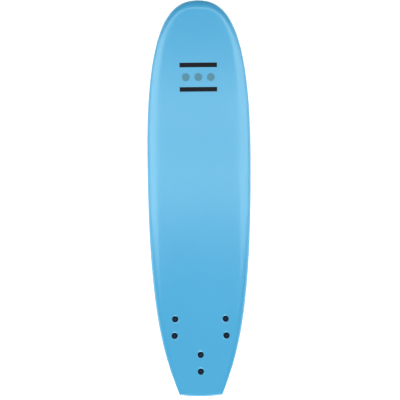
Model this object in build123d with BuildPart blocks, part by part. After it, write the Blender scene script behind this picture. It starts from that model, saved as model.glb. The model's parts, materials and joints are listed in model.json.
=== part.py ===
from build123d import *
import os
from math import asin, atan2, cos, degrees, radians, sin, sqrt, tan

# Soft-top longboard surfboard, in millimetres. The board is shaped level, X across, +Y to the
# nose and Z up, with the flat of its bottom at Z = 0. Each finished piece is then laid in the
# resting place, where the board stands on its belly and the tips of its two side fins.

# plan outline: two Bezier curves a side, from the nose to the wide point and on past the tail
length = 2425.0
width = 640.0
nose_y = length / 2
tail_y = -length / 2
nose_to_wide_point = 944.0
wide_point_y = nose_y - nose_to_wide_point
nose_fullness = 150.0
fore_rail_handle = 848.0
aft_rail_handle = 1021.5
run_out = 60.0
run_out_half_width = 101.5
run_out_handle = (118.4, 268.8)
tail_end_radius = 965.0
tail_edge_radius = 12.0

# bottom line: a flat with a tangent arc up to each end
bottom_flat_front = 250.0
bottom_flat_back = -350.0
nose_rocker_radius = 3632.0
tail_rocker_radius = 6798.0
nose_rocker_sweep = 17.0
tail_rocker_sweep = 8.5

# deck line, along the middle of a deck that is domed across and falls faster at its shoulders
thickness = 86.0
deck_flat_front = 350.0
deck_flat_back = -500.0
deck_nose_radius = 3844.0
deck_tail_radius = 16953.0
deck_nose_sweep = 14.0
deck_tail_run = 850.0
deck_crown_radius = 2740.0
shoulder_start = 215.0
shoulder_radius = 400.0
deck_half_span = 360.0

# rails, skins and stringers
rail_radius = 36.0
chine_radius = 9.5
foam_skin = 6.0
slick_skin = 2.5
glue_line = 0.3
stringer_x = 90.0
stringer_thickness = 5.0

# fins: three alike, each drawn up to the bottom by two screws
fin_base_length = 150.0
fin_base_width = 26.0
fin_base_thickness = 5.0
fin_base_edge_radius = 3.0
fin_gap = 0.3
blade_overlap = 1.0
bolt_spacing = 102.5
side_fin_x = 157.3
side_fin_from_tail = 419.0
centre_fin_from_tail = 198.0
side_fin_y = tail_y + side_fin_from_tail
centre_fin_y = tail_y + centre_fin_from_tail
toe_in = 2.35
side_fin_cant = 4.5
# blade: depth under the base, front edge, back edge and thickness
blade_sections = (
    (0.0, 69.0, -66.0, 11.0),
    (25.0, 57.0, -60.0, 10.2),
    (50.0, 38.0, -58.0, 9.2),
    (75.0, 12.0, -61.5, 8.0),
    (95.0, -18.0, -69.5, 6.6),
    (105.0, -38.0, -76.0, 5.4),
    (110.0, -54.0, -80.5, 4.2),
)

# fastenings, with heights counted along the screw from the board's bottom
thread_radius = 3.0
thread_clearance = 0.05
thread_engagement = 14.0
tip_chamfer = 0.6
post_radius = 6.3
post_height = 22.0
insert_radius = 4.5
insert_length = 20.0
sleeve_radius = 8.5
sleeve_bore_radius = 3.5
sleeve_foot = 0.5
post_clearance = 0.3
post_headroom = 1.5
hole_clearance = 0.15
washer_radius = 19.0
washer_edge = 1.4
washer_height = 3.6
washer_rim = 7.5
washer_floor = 1.4
washer_dome = 0.84
washer_recess = 1.6
recess_clearance = 0.3
head_radius = 5.4
head_clearance = 0.5
head_gap = 0.1
head_height = 2.4
head_dome = 0.72
cross_length = 5.6
cross_width = 1.1
cross_depth = 1.5

os.makedirs("parts", exist_ok=True)


# Heights of the bottom and the deck


def arc_rise(run, radius):
    """How far a circle has left its tangent after this run, and nothing before it starts."""
    if run <= 0:
        return 0.0
    return radius - sqrt(radius**2 - run**2)


def bottom_height(y):
    nose_rise = arc_rise(y - bottom_flat_front, nose_rocker_radius)
    return nose_rise + arc_rise(bottom_flat_back - y, tail_rocker_radius)


def crown_drop(x, lowered):
    """How far the deck has fallen at this distance from its middle, on it or parallel under it."""
    wide = deck_crown_radius - lowered
    close = shoulder_radius - lowered
    slope = asin(shoulder_start / deck_crown_radius)
    start = wide * sin(slope)
    if abs(x) <= start:
        return arc_rise(abs(x), wide)
    past = abs(x) - start + close * sin(slope)
    return arc_rise(start, wide) + arc_rise(past, close) - arc_rise(close * sin(slope), close)


def deck_height(x, y):
    nose_rise = arc_rise(y - deck_flat_front, deck_nose_radius)
    tail_rise = arc_rise(deck_flat_back - y, deck_tail_radius)
    return thickness + nose_rise + tail_rise - crown_drop(x, 0)


# Spaces that the board's pieces are cut from


def outline(inset, side):
    """One side of the plan outline, from the nose tip to the run-out past the tail."""
    tip = (0, nose_y - inset)
    wide = (side * (width / 2 - inset), wide_point_y)
    end = (side * (run_out_half_width - inset), tail_y - run_out)
    tip_handle = (side * nose_fullness * (1 - inset / (width / 2)), tip[1])
    fore_handle = (wide[0], wide_point_y + fore_rail_handle * (1 - inset / nose_to_wide_point))
    aft_handle = (wide[0], wide_point_y - aft_rail_handle)
    end_handle = (end[0] + side * run_out_handle[0], end[1] + run_out_handle[1])
    Bezier(tip, tip_handle, fore_handle, wide)
    return Bezier(wide, aft_handle, end_handle, end)


def above_bottom(raised):
    """Everything above the bottom line, or above a line raised parallel to it."""
    with BuildPart() as space:
        with BuildSketch(Plane.YZ):
            with BuildLine():
                front = (bottom_flat_front, raised)
                back = (bottom_flat_back, raised)
                Line(back, front)
                nose = JernArc(front, (1, 0), nose_rocker_radius - raised, nose_rocker_sweep)
                tail = JernArc(back, (-1, 0), tail_rocker_radius - raised, -tail_rocker_sweep)
                top = 4 * thickness
                Polyline(nose @ 1, ((nose @ 1).X, top), ((tail @ 1).X, top), tail @ 1)
            make_face()
        extrude(amount=width, both=True)
    return space.part


def under_deck(lowered):
    """Everything under the domed deck: its crown, three arcs, swept along the deck line."""
    level = thickness - lowered
    half = deck_half_span
    drop = crown_drop(half, lowered)
    start = shoulder_start * (deck_crown_radius - lowered) / deck_crown_radius
    shoulder = (start, -crown_drop(start, lowered))
    halfway = ((start + half) / 2, -crown_drop((start + half) / 2, lowered))
    tail_radius = deck_tail_radius + lowered
    tail_sweep = degrees(deck_tail_run / tail_radius)
    with BuildPart() as space:
        with BuildLine(Plane.YZ) as deck_line:
            JernArc((deck_flat_back, level), (-1, 0), tail_radius, -tail_sweep)
            Line((deck_flat_back, level), (deck_flat_front, level))
            JernArc((deck_flat_front, level), (1, 0), deck_nose_radius + lowered, deck_nose_sweep)
        path = deck_line.wires()[0]
        forward = path % 0
        across = (-1, 0, 0) if forward.Y > 0 else (1, 0, 0)
        with BuildSketch(Plane(origin=path @ 0, x_dir=across, z_dir=forward)):
            with BuildLine():
                ThreePointArc((-half, -drop), (-halfway[0], halfway[1]), (-shoulder[0], shoulder[1]))
                ThreePointArc((-shoulder[0], shoulder[1]), (0, 0), shoulder)
                ThreePointArc(shoulder, halfway, (half, -drop))
                low = -3 * thickness
                Polyline((half, -drop), (half, low), (-half, low), (-half, -drop))
            make_face()
        sweep(path=path)
    return space.part


def ahead_of_tail(inset):
    """Everything in front of the tail's end, which bulges a little."""
    radius = tail_end_radius - inset
    half = width / 2
    end = tail_y + inset
    side_end = end + arc_rise(half, radius)
    with BuildPart() as space:
        with BuildSketch(Plane.XY.offset(-thickness)):
            with BuildLine():
                ThreePointArc((-half, side_end), (0, end), (half, side_end))
                Polyline((half, side_end), (width, side_end), (width, length))
                Polyline((width, length), (-width, length), (-width, side_end), (-half, side_end))
            make_face()
        extrude(amount=5 * thickness)
    return space.part


def blank(inset, raised, top_radius, bottom_radius):
    """The board's body, or a smaller one inside it, with its rails rounded."""
    with BuildPart() as body:
        with BuildSketch(Plane.XY.offset(-thickness)):
            with BuildLine():
                right = outline(inset, 1)
                left = outline(inset, -1)
                Line(right @ 1, left @ 1)
            make_face()
        extrude(amount=5 * thickness)
        add(under_deck(inset), mode=Mode.INTERSECT)
        add(above_bottom(raised), mode=Mode.INTERSECT)
        fillet(rail_edges(body, raised, True), top_radius)
        fillet(rail_edges(body, raised, False), bottom_radius)
        add(ahead_of_tail(inset), mode=Mode.INTERSECT)
    return body.part


def is_upright(edge):
    return abs((edge % 0.5).Z) > 0.5


def rail_edges(body, raised, on_deck):
    """The edges where the upright rail meets the deck, or where it meets the bottom."""
    found = []
    for edge in body.edges():
        middle = edge @ 0.5
        above = middle.Z - bottom_height(middle.Y) - raised
        across = abs((edge % 0.5).X) > 0.9 and middle.Y < nose_y / 2
        if is_upright(edge) or across or (above > thickness / 4) != on_deck:
            continue
        found.append(edge)
    return found


# Places of the fins and their bolts: a fin's plane lies on the bottom, its Y towards the nose


def fin_plane(x, y, turn):
    slope = atan2(bottom_height(y - 1) - bottom_height(y + 1), 2)
    level = Plane(origin=(x, y, bottom_height(y)), x_dir=(1, 0, 0), z_dir=(0, sin(slope), cos(slope)))
    return Plane(level.location * Rot(0, 0, turn))


def deck_above(plane, y):
    """Length of the bolt's axis from the fin's plane up to the deck."""
    reach = thickness
    for _ in range(8):
        point = plane.from_local_coords((0, y, reach))
        reach += deck_height(point.X, point.Y) - point.Z
    return reach


fin_planes = {
    "left": fin_plane(-side_fin_x, side_fin_y, -toe_in),
    "centre": fin_plane(0, centre_fin_y, 0),
    "right": fin_plane(side_fin_x, side_fin_y, toe_in),
}
cants = {"left": -side_fin_cant, "centre": 0.0, "right": side_fin_cant}
bolt_ends = {"front": bolt_spacing / 2, "rear": -bolt_spacing / 2}
bolts = {}
for fin_name, plane in fin_planes.items():
    for end, y in bolt_ends.items():
        foot = Plane(origin=plane.from_local_coords((0, y, 0)), x_dir=plane.x_dir, z_dir=plane.z_dir)
        bolts[f"{fin_name}_{end}"] = (foot, deck_above(plane, y) - washer_recess)


# Board: slick bottom, foam deck skin, foam core and stringers, with a hole for each bolt

with BuildPart() as outside:
    add(blank(0, 0, rail_radius, chine_radius))
    tail_edges = outside.edges().filter_by(is_upright).group_by(Axis.Y)[0]
    fillet(tail_edges, tail_edge_radius)

skin_space = blank(foam_skin, slick_skin, rail_radius - foam_skin, chine_radius - foam_skin)
glued = foam_skin + glue_line
core_space = blank(glued, slick_skin, rail_radius - glued, chine_radius - foam_skin)
bolt_feet = [foot.location for foot, seat in bolts.values()]
washer_seats = [foot.offset(seat).location for foot, seat in bolts.values()]


def drill_bolt_holes():
    """A hole right through the board for each bolt's sleeve."""
    with Locations(*bolt_feet):
        Cylinder(sleeve_radius + hole_clearance, 4 * thickness, mode=Mode.SUBTRACT)


with BuildPart() as bottom_skin:
    add(outside.part)
    add(above_bottom(slick_skin), mode=Mode.SUBTRACT)
    drill_bolt_holes()

with BuildPart() as deck_skin:
    add(outside.part)
    add(above_bottom(slick_skin), mode=Mode.INTERSECT)
    add(skin_space, mode=Mode.SUBTRACT)
    drill_bolt_holes()
    with Locations(*washer_seats):
        bottom_up = (Align.CENTER, Align.CENTER, Align.MIN)
        Cylinder(washer_radius + recess_clearance, thickness, align=bottom_up, mode=Mode.SUBTRACT)

strips = {
    "core_left": (-width, -stringer_x - stringer_thickness / 2),
    "stringer_left": (-stringer_x - stringer_thickness / 2, -stringer_x + stringer_thickness / 2),
    "core_centre": (-stringer_x + stringer_thickness / 2, stringer_x - stringer_thickness / 2),
    "stringer_right": (stringer_x - stringer_thickness / 2, stringer_x + stringer_thickness / 2),
    "core_right": (stringer_x + stringer_thickness / 2, width),
}


def strip(left, right):
    """The slice of the core's space between two upright planes."""
    with BuildPart() as piece:
        add(core_space)
        with Locations(((left + right) / 2, 0, 0)):
            Box(right - left, 2 * length, 6 * thickness, mode=Mode.INTERSECT)
        drill_bolt_holes()
    return piece.part


# Fastenings for one bolt, made along the bolt's own axis


def sleeve(seat):
    """Tube through the board: a wide bore at the foot for the fin's post, a narrow one above."""
    with BuildPart() as tube:
        with Locations((0, 0, sleeve_foot)):
            Cylinder(sleeve_radius, seat - sleeve_foot, align=(Align.CENTER, Align.CENTER, Align.MIN))
        Cylinder(sleeve_bore_radius, 4 * seat, mode=Mode.SUBTRACT)
        Cylinder(post_radius + post_clearance, 2 * (post_height + post_headroom), mode=Mode.SUBTRACT)
    return tube.part


def washer(seat):
    """Round dished washer with a flat seat for the screw's head."""
    with BuildPart() as disc:
        with BuildSketch(Plane.XZ):
            with BuildLine():
                bore = (sleeve_bore_radius, seat)
                Line(bore, (washer_radius, seat))
                Line((washer_radius, seat), (washer_radius, seat + washer_edge))
                middle = ((washer_radius + washer_rim) / 2, seat + washer_dome * washer_height)
                top = (washer_rim, seat + washer_height)
                ThreePointArc((washer_radius, seat + washer_edge), middle, top)
                well = head_radius + head_clearance
                Polyline(top, (well, seat + washer_height), (well, seat + washer_floor))
                Polyline((well, seat + washer_floor), (sleeve_bore_radius, seat + washer_floor), bore)
            make_face()
        revolve(axis=Axis.Z)
    return disc.part


def screw(seat):
    """Machine screw with a domed head and a cross recess."""
    under_head = seat + washer_floor + head_gap
    tip = post_height - thread_engagement
    shank_end = (thread_radius, tip + tip_chamfer)
    crown = under_head + head_height
    edge = (head_radius, crown - head_dome)
    dome_radius = (head_radius**2 + head_dome**2) / (2 * head_dome)
    halfway = (head_radius / 2, crown - arc_rise(head_radius / 2, dome_radius))
    with BuildPart() as bolt:
        with BuildSketch(Plane.XZ):
            with BuildLine():
                Polyline((0, tip), (thread_radius - tip_chamfer, tip), shank_end)
                Polyline(shank_end, (thread_radius, under_head), (head_radius, under_head), edge)
                ThreePointArc(edge, halfway, (0, crown))
                Line((0, crown), (0, tip))
            make_face()
        revolve(axis=Axis.Z)
        with Locations((0, 0, crown)):
            Box(cross_length, cross_width, 2 * cross_depth, mode=Mode.SUBTRACT)
            Box(cross_width, cross_length, 2 * cross_depth, mode=Mode.SUBTRACT)
    return bolt.part


def insert():
    """Threaded brass insert at the top of a fin's post."""
    with BuildPart() as ring:
        with Locations((0, 0, post_height)):
            top_down = (Align.CENTER, Align.CENTER, Align.MAX)
            Cylinder(insert_radius, insert_length, align=top_down)
            Cylinder(thread_radius + thread_clearance, insert_length, align=top_down, mode=Mode.SUBTRACT)
    return ring.part


# Fin: a base with rounded ends, a raked blade under it and two posts over it


def fin(cant):
    base_bottom = -fin_gap - fin_base_thickness
    blade_root = base_bottom + blade_overlap
    with BuildPart() as body:
        with BuildSketch(Plane.XY.offset(base_bottom)):
            SlotOverall(fin_base_length, fin_base_width, rotation=90)
        extrude(amount=fin_base_thickness)
        fillet(body.faces().sort_by(Axis.Z)[0].edges(), fin_base_edge_radius)
        for depth, front, back, thick in blade_sections:
            lean = depth * tan(radians(cant))
            with BuildSketch(Plane.XY.offset(blade_root - depth)):
                with Locations((lean, (front + back) / 2)):
                    Ellipse(thick / 2, (front - back) / 2)
        loft()
        with Locations((0, bolt_spacing / 2, blade_root), (0, -bolt_spacing / 2, blade_root)):
            bottom_up = (Align.CENTER, Align.CENTER, Align.MIN)
            Cylinder(post_radius, post_height - blade_root, align=bottom_up)
        with Locations((0, bolt_spacing / 2, post_height), (0, -bolt_spacing / 2, post_height)):
            top_down = (Align.CENTER, Align.CENTER, Align.MAX)
            Cylinder(insert_radius, insert_length, align=top_down, mode=Mode.SUBTRACT)
    return body.part


pieces = {"bottom_skin": bottom_skin.part, "deck_skin": deck_skin.part}
for name, (left, right) in strips.items():
    pieces[name] = strip(left, right)
for fin_name, plane in fin_planes.items():
    pieces[f"fin_{fin_name}"] = plane.location * fin(cants[fin_name])
for bolt_name, (foot, seat) in bolts.items():
    pieces[f"sleeve_{bolt_name}"] = foot.location * sleeve(seat)
    pieces[f"washer_{bolt_name}"] = foot.location * washer(seat)
    pieces[f"screw_{bolt_name}"] = foot.location * screw(seat)
    pieces[f"insert_{bolt_name}"] = foot.location * insert()


# Resting place: nose down until the belly's arc and the side fins' tips are on one level


def lowest(tilt):
    """Heights of the belly and of a side fin's tip once the board is tilted, nose down."""
    turned = Rot(-tilt, 0, 0)
    arc_centre = turned * Pos(0, bottom_flat_front, nose_rocker_radius)
    belly = arc_centre.position.Z - nose_rocker_radius
    return belly, (turned * pieces["fin_right"]).bounding_box().min.Z


tilt = 4.0
belly_to_tip = bottom_flat_front - side_fin_y
for _ in range(10):
    belly, tip = lowest(tilt)
    tilt -= degrees((tip - belly) / belly_to_tip)
belly, tip = lowest(tilt)
ends = (Rot(-tilt, 0, 0) * outside.part).bounding_box()
rest = Pos(0, -(ends.min.Y + ends.max.Y) / 2, -min(belly, tip)) * Rot(-tilt, 0, 0)

for name, piece in pieces.items():
    laid = rest * piece
    laid.label = name
    export_step(laid, f"parts/{name}.step")

# Joint places and the flat of the bottom, for the record
print("tilt", round(tilt, 4), "belly", round(belly, 4), "tip", round(tip, 4))
for bolt_name, (foot, seat) in bolts.items():
    laid = rest * foot.location
    print(bolt_name, "foot", laid.position, "axis", Plane(laid).z_dir, "seat", round(seat, 3))
flat = rest * Pos(0, (bottom_flat_front + bottom_flat_back) / 2, 0)
print("bottom flat", flat.position, "normal", -Plane(flat).z_dir)
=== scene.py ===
import json
from math import radians

import bmesh
import bpy
import numpy as np
from mathutils import Matrix, Vector


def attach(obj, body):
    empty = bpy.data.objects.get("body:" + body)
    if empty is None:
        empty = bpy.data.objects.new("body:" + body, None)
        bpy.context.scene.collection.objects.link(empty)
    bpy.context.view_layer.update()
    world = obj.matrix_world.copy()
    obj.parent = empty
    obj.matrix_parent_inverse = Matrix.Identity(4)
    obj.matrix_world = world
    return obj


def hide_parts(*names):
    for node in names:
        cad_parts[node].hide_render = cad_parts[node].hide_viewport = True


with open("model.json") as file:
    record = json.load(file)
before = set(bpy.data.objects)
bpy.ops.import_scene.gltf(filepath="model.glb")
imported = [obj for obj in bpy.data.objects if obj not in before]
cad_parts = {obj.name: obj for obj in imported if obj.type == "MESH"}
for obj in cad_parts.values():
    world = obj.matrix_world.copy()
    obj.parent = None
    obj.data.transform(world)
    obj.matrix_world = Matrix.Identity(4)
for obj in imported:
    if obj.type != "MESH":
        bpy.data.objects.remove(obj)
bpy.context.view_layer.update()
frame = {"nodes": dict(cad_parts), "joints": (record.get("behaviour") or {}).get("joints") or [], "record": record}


# ---- Foam core -----------------------------------------------------------------------------
# Three strips of white expanded polystyrene, cut from moulded blocks. Beads of 3 to 4 mm show
# on every cut face. The strips are glued to the stringers between them and to both skins.

def finish(name, **values):
    """A new material. The values go on the sockets of its own shader, with _ for a space."""
    made = bpy.data.materials.new(name)
    made.use_nodes = True
    shader = made.node_tree.nodes["Principled BSDF"]
    for socket, value in values.items():
        shader.inputs[socket.replace("_", " ")].default_value = value
    return made


def node(material, kind, inputs=None, output=0, **settings):
    """Adds a node. Each input takes a number or another node's socket; the answer is one output."""
    made = material.node_tree.nodes.new("ShaderNode" + kind)
    for setting, value in settings.items():
        setattr(made, setting, value)
    for key, value in (inputs or {}).items():
        if isinstance(value, bpy.types.NodeSocket):
            material.node_tree.links.new(value, made.inputs[key])
        else:
            made.inputs[key].default_value = value
    return made.outputs[output]


def place(material):
    """The point of the surface in the board's own metres."""
    return node(material, "TexCoord", output="Object")


def spread(material, value, low, high, to_low=0.0, to_high=1.0):
    """Moves a value from one range to another along an S-shaped ramp, and keeps it inside."""
    inputs = {"Value": value, "From Min": low, "From Max": high, "To Min": to_low, "To Max": to_high}
    return node(material, "MapRange", inputs, interpolation_type="SMOOTHSTEP")


def mix(material, factor, first, second):
    """A colour between two, by a factor from 0 to 1."""
    made = material.node_tree.nodes.new("ShaderNodeMix")
    made.data_type = "RGBA"
    for key, value in ((0, factor), (6, first), (7, second)):
        if isinstance(value, bpy.types.NodeSocket):
            material.node_tree.links.new(value, made.inputs[key])
        else:
            made.inputs[key].default_value = value
    return made.outputs[2]


def wire(material, **sockets):
    """Joins sockets to the shader's inputs, with _ for a space."""
    shader = material.node_tree.nodes["Principled BSDF"]
    for socket, value in sockets.items():
        material.node_tree.links.new(value, shader.inputs[socket.replace("_", " ")])


def relief(material, height, depth, under=None):
    """Bump of this depth in metres from a height of 0 to 1, over another bump if there is one."""
    inputs = {"Height": height, "Distance": depth, "Strength": 1.0}
    if under is not None:
        inputs["Normal"] = under
    return node(material, "Bump", inputs)


def dress(node_name, material):
    """Gives a CAD node this material in place of its plain one."""
    slots = frame["nodes"][node_name].data.materials
    slots.clear()
    slots.append(material)


BEAD = 0.0036
BEAD_SHADES = (0.80, 0.80, 0.78, 1), (0.93, 0.93, 0.91, 1)
BEAD_GAP_SHADE = (0.62, 0.62, 0.60, 1)
BEAD_GAP = 0.25
BEAD_RELIEF = 0.0004
beads = finish("white_bead_foam", Roughness=0.85, Specular_IOR_Level=0.2)
bead_cells = {"Vector": place(beads), "Scale": 1 / BEAD}
bead_edge = node(beads, "TexVoronoi", bead_cells, feature="DISTANCE_TO_EDGE")
bead_colour = node(beads, "TexVoronoi", bead_cells, output="Color")
bead_tone = mix(beads, node(beads, "SeparateColor", {0: bead_colour}), *BEAD_SHADES)
bead_round = spread(beads, bead_edge, 0.0, BEAD_GAP)
wire(beads, Base_Color=mix(beads, bead_round, BEAD_GAP_SHADE, bead_tone))
wire(beads, Normal=relief(beads, bead_round, BEAD_RELIEF))
for side in ("left", "centre", "right"):
    dress(f"core_{side}", beads)


# ---- Stringers -----------------------------------------------------------------------------
# Two strips of 5 mm plywood on edge, from nose to tail, that keep the foam from folding. Their
# plies lie upright and the grain runs along the board. They are glued between the core strips.

def sum_of(material, kind, first, second):
    """One step of arithmetic between two sockets or numbers."""
    return node(material, "Math", {0: first, 1: second}, operation=kind)


PLY = 0.0012
PLY_SHADES = (0.30, 0.19, 0.09, 1), (0.55, 0.39, 0.22, 1)
GRAIN_SHADE = (0.62, 0.46, 0.27, 1)
GRAIN_PER_METRE = (300.0, 6.0, 120.0)
GRAIN_RELIEF = 0.0002
plywood = finish("plywood", Roughness=0.6)
grain_place = node(plywood, "Mapping", {"Vector": place(plywood), "Scale": GRAIN_PER_METRE})
grain = node(plywood, "TexNoise", {"Vector": grain_place, "Scale": 1.0, "Detail": 5.0})
across_ply = node(plywood, "SeparateXYZ", {0: place(plywood)})
ply = sum_of(plywood, "PINGPONG", sum_of(plywood, "ADD", across_ply, 1.0), PLY)
ply_tone = mix(plywood, spread(plywood, ply, 0.3 * PLY, 0.7 * PLY), *PLY_SHADES)
wire(plywood, Base_Color=mix(plywood, grain, ply_tone, GRAIN_SHADE))
wire(plywood, Normal=relief(plywood, grain, GRAIN_RELIEF))
for side in ("left", "right"):
    dress(f"stringer_{side}", plywood)


# ---- Sleeves -------------------------------------------------------------------------------
# Six black moulded tubes, each right through the foam from the bottom up to a washer's seat.
# The wide bore at the foot takes a fin's post and the narrow one above it takes the screw.

def noise(material, where, size, detail=3.0):
    """Soft cloudy noise from 0 to 1, with lumps of this size in metres."""
    return node(material, "TexNoise", {"Vector": where, "Scale": 1 / size, "Detail": detail})


TUBE_SHADES = (0.014, 0.014, 0.015, 1), (0.030, 0.030, 0.032, 1)
TUBE_GRAIN = 0.0006
TUBE_RELIEF = 0.00005
tube_black = finish("black_tube", Base_Color=(0.02, 0.02, 0.021, 1), Roughness=0.45)
tube_grain = noise(tube_black, place(tube_black), TUBE_GRAIN, 2.0)
wire(tube_black, Base_Color=mix(tube_black, tube_grain, *TUBE_SHADES))
wire(tube_black, Normal=relief(tube_black, tube_grain, TUBE_RELIEF))
BOLTS = [f"{fin}_{end}" for fin in ("left", "centre", "right") for end in ("front", "rear")]
for bolt in BOLTS:
    dress(f"sleeve_{bolt}", tube_black)


# ---- Slick bottom --------------------------------------------------------------------------
# One sheet of white high-density polyethylene, 2.5 mm thick, heat-laminated to the core. Its
# edge is the lowest part of the chine's round, and the deck foam is welded on just above it.

# The bottom's flat, which the record gives the middle of, and the arcs ahead of it and behind it
FLAT_FROM = -0.35
FLAT_TO = 0.25
NOSE_ARC = 3.632
TAIL_ARC = 6.798
rest_face = frame["record"]["mounts"][0]
up = -np.array(rest_face["axis"])
across = np.array((1.0, 0.0, 0.0))
ahead = np.cross(up, across)
origin = np.array(rest_face["pos_m"]) - (FLAT_FROM + FLAT_TO) / 2 * ahead


def lay(x, y, z):
    """Points of the level board (X across, Y to the nose, Z up from its flat) where it lies."""
    return origin + x[..., None] * across + y[..., None] * ahead + z[..., None] * up


def level(point):
    """The other way: a point or direction of the lying board, in the level board's axes."""
    return np.array((point @ across, point @ ahead, point @ up))


def rise(run, radius):
    """How far a circle has left its tangent: R - sqrt(R^2 - run^2), and 0 before it starts."""
    return radius - np.sqrt(radius**2 - np.clip(run, 0, None) ** 2)


def bottom_height(y):
    """The bottom line: flat in the middle, an arc up to the nose and one up to the tail."""
    return rise(y - FLAT_TO, NOSE_ARC) + rise(FLAT_FROM - y, TAIL_ARC)


THICK = 0.086
DECK_FLAT_FROM = -0.5
DECK_FLAT_TO = 0.35
DECK_NOSE_ARC = 3.844
DECK_TAIL_ARC = 17.3
CROWN = 2.74
SHOULDER = 0.4
SHOULDER_FROM = 0.215
SHOULDER_LEAD = SHOULDER * SHOULDER_FROM / CROWN


def deck_height(x, y):
    """The deck: 86 mm up, rising to nose and tail along two arcs, and domed across by a third,
    which a closer arc takes over, at the same slope, at each shoulder."""
    past = SHOULDER_LEAD + np.clip(abs(x) - SHOULDER_FROM, 0, None)
    dome = rise(np.minimum(abs(x), SHOULDER_FROM), CROWN)
    dome = dome + rise(past, SHOULDER) - rise(SHOULDER_LEAD, SHOULDER)
    return THICK + rise(y - DECK_FLAT_TO, DECK_NOSE_ARC) + rise(DECK_FLAT_FROM - y, DECK_TAIL_ARC) - dome


# The outline's right half: a curve from the nose to the wide point, one on to the tail's corner
# and an arc across the tail's end
HALF_WIDTH = 0.320
NOSE_TIP = 1.2118
WIDE_POINT = 0.2685
TAIL_END = -1.2122
NOSE_CURVE = (0, NOSE_TIP), (0.150, NOSE_TIP), (HALF_WIDTH, 1.1165), (HALF_WIDTH, WIDE_POINT)
TAIL_CURVE = (HALF_WIDTH, WIDE_POINT), (HALF_WIDTH, -0.753), (0.2199, -1.0037), (0.1015, -1.2725)
TAIL_RADIUS = 0.965
TAIL_CENTRE = np.array((0, TAIL_END + TAIL_RADIUS))
CORNER = 0.012
CORNER_AFT_OF = -0.6
CORNER_STEPS = 9
RAIL_STEPS = 2000


def bezier(points, t):
    """Cubic Bezier: the four points weighted by (1-t)^3, 3t(1-t)^2, 3t^2(1-t) and t^3."""
    a, b, c, d = np.array(points, float)
    return (1 - t) ** 3 * a + 3 * t * (1 - t) ** 2 * b + 3 * t**2 * (1 - t) * c + t**3 * d


share = np.linspace(0, 1, RAIL_STEPS + 1)[:, None]
rail = np.vstack([bezier(NOSE_CURVE, share), bezier(TAIL_CURVE, share)[1:]])
forward = np.gradient(rail, axis=0)
forward /= np.linalg.norm(forward, axis=1, keepdims=True)
forward[0] = (1, 0)
outward = np.stack([-forward[:, 1], forward[:, 0]], axis=1)
run = np.concatenate([[0], np.cumsum(np.linalg.norm(np.diff(rail, axis=0), axis=1))])
# The corner's round starts where the rail and the tail's arc, both drawn in by its radius, meet
reach = np.linalg.norm(rail - CORNER * outward - TAIL_CENTRE, axis=1)
tail_part = rail[:, 1] < CORNER_AFT_OF
corner_run = np.interp(TAIL_RADIUS - CORNER, reach[tail_part], run[tail_part])


def along(runs, table):
    """Values of a table of the rail at these runs from the nose, column by column."""
    return np.stack([np.interp(runs, run, column) for column in table.T], axis=1)


def fade(runs, length):
    """0 at the tail's corner, and nearly 1 a few lengths ahead of it: 1 - exp(-distance/length)."""
    return 1 - np.exp(-(corner_run - runs) / length)


def smooth(value):
    """3v^2 - 2v^3 between 0 and 1."""
    value = np.clip(value, 0, 1)
    return value * value * (3 - 2 * value)


# The close lines of a grid round a bolt's hole: how far each is from the middle, either way
HOLE = 0.00865
RINGS = np.array((
    2.2, 4.4, 6.6, 1000 * HOLE, 11.5, 14.0, 16.7, 19.2, 20.5, 22.0, 23.5, 25.0, 27.0, 29.5)) / 1000
LINES = np.concatenate([-RINGS[::-1], [0], RINGS])
FIRST = int(np.argmin(abs(LINES + HOLE)))
LAST = int(np.argmin(abs(LINES - HOLE)))
ROW_FADE = 0.044
COLUMN_FADE = 0.25
# Each ring of their square is drawn in to a circle: a point's largest coordinate becomes its
# radius, wholly so as far out as 22.5 mm and less and less from there to the square's edge
ROUND_TO = 0.0225
square_x, square_y = np.meshgrid(LINES, -LINES)
largest = np.maximum(abs(square_x), abs(square_y))
draw_in = smooth((LINES[-1] - largest) / (LINES[-1] - ROUND_TO))
pull = 1 - draw_in + draw_in * largest / np.maximum(np.hypot(square_x, square_y), 1e-9)
# The even lines over the rest of the board
SPACING = 0.020
COLUMNS = 25
COLUMN_GAP = 0.02
BOWED = 0.1


def spaced_lines(band, centres):
    """Runs of a grid's rows and fractions of its columns: even ones, with the close set of lines
    in place of them at each hole. Also gives each hole's first row and column."""
    inner = rail - outward * band(run)[:, None]
    rows = np.linspace(0, corner_run, int(corner_run / SPACING))
    columns = np.linspace(-1, 1, COLUMNS)
    half, first_rows, first_columns = {}, {}, {}
    for y in sorted({centre[1] for centre in centres.values()}, reverse=True):
        lines = np.interp(LINES - y, -inner[:, 1], run)
        rows = rows[(rows < lines[0] - SPACING / 3) | (rows > lines[-1] + SPACING / 3)]
        rows = np.sort(np.concatenate([rows, lines]))
        half[y] = np.interp(lines[len(LINES) // 2], run, inner[:, 0])
        first_rows[y] = lines[0]
    for side in (-1, 0, 1):
        own = [centre for centre in centres.values() if np.sign(centre[0]) == side]
        width = np.mean([half[centre[1]] for centre in own])
        lines = (np.mean([centre[0] for centre in own]) + LINES) / width
        columns = columns[(columns < lines[0] - COLUMN_GAP) | (columns > lines[-1] + COLUMN_GAP)]
        columns = np.sort(np.concatenate([columns, lines]))
        first_columns[side] = lines[0]
    corners = {}
    for bolt, centre in centres.items():
        first_row = int(np.argmin(abs(rows - first_rows[centre[1]])))
        corners[bolt] = (first_row, int(np.argmin(abs(columns - first_columns[np.sign(centre[0])]))))
    return rows, columns, corners


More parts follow.
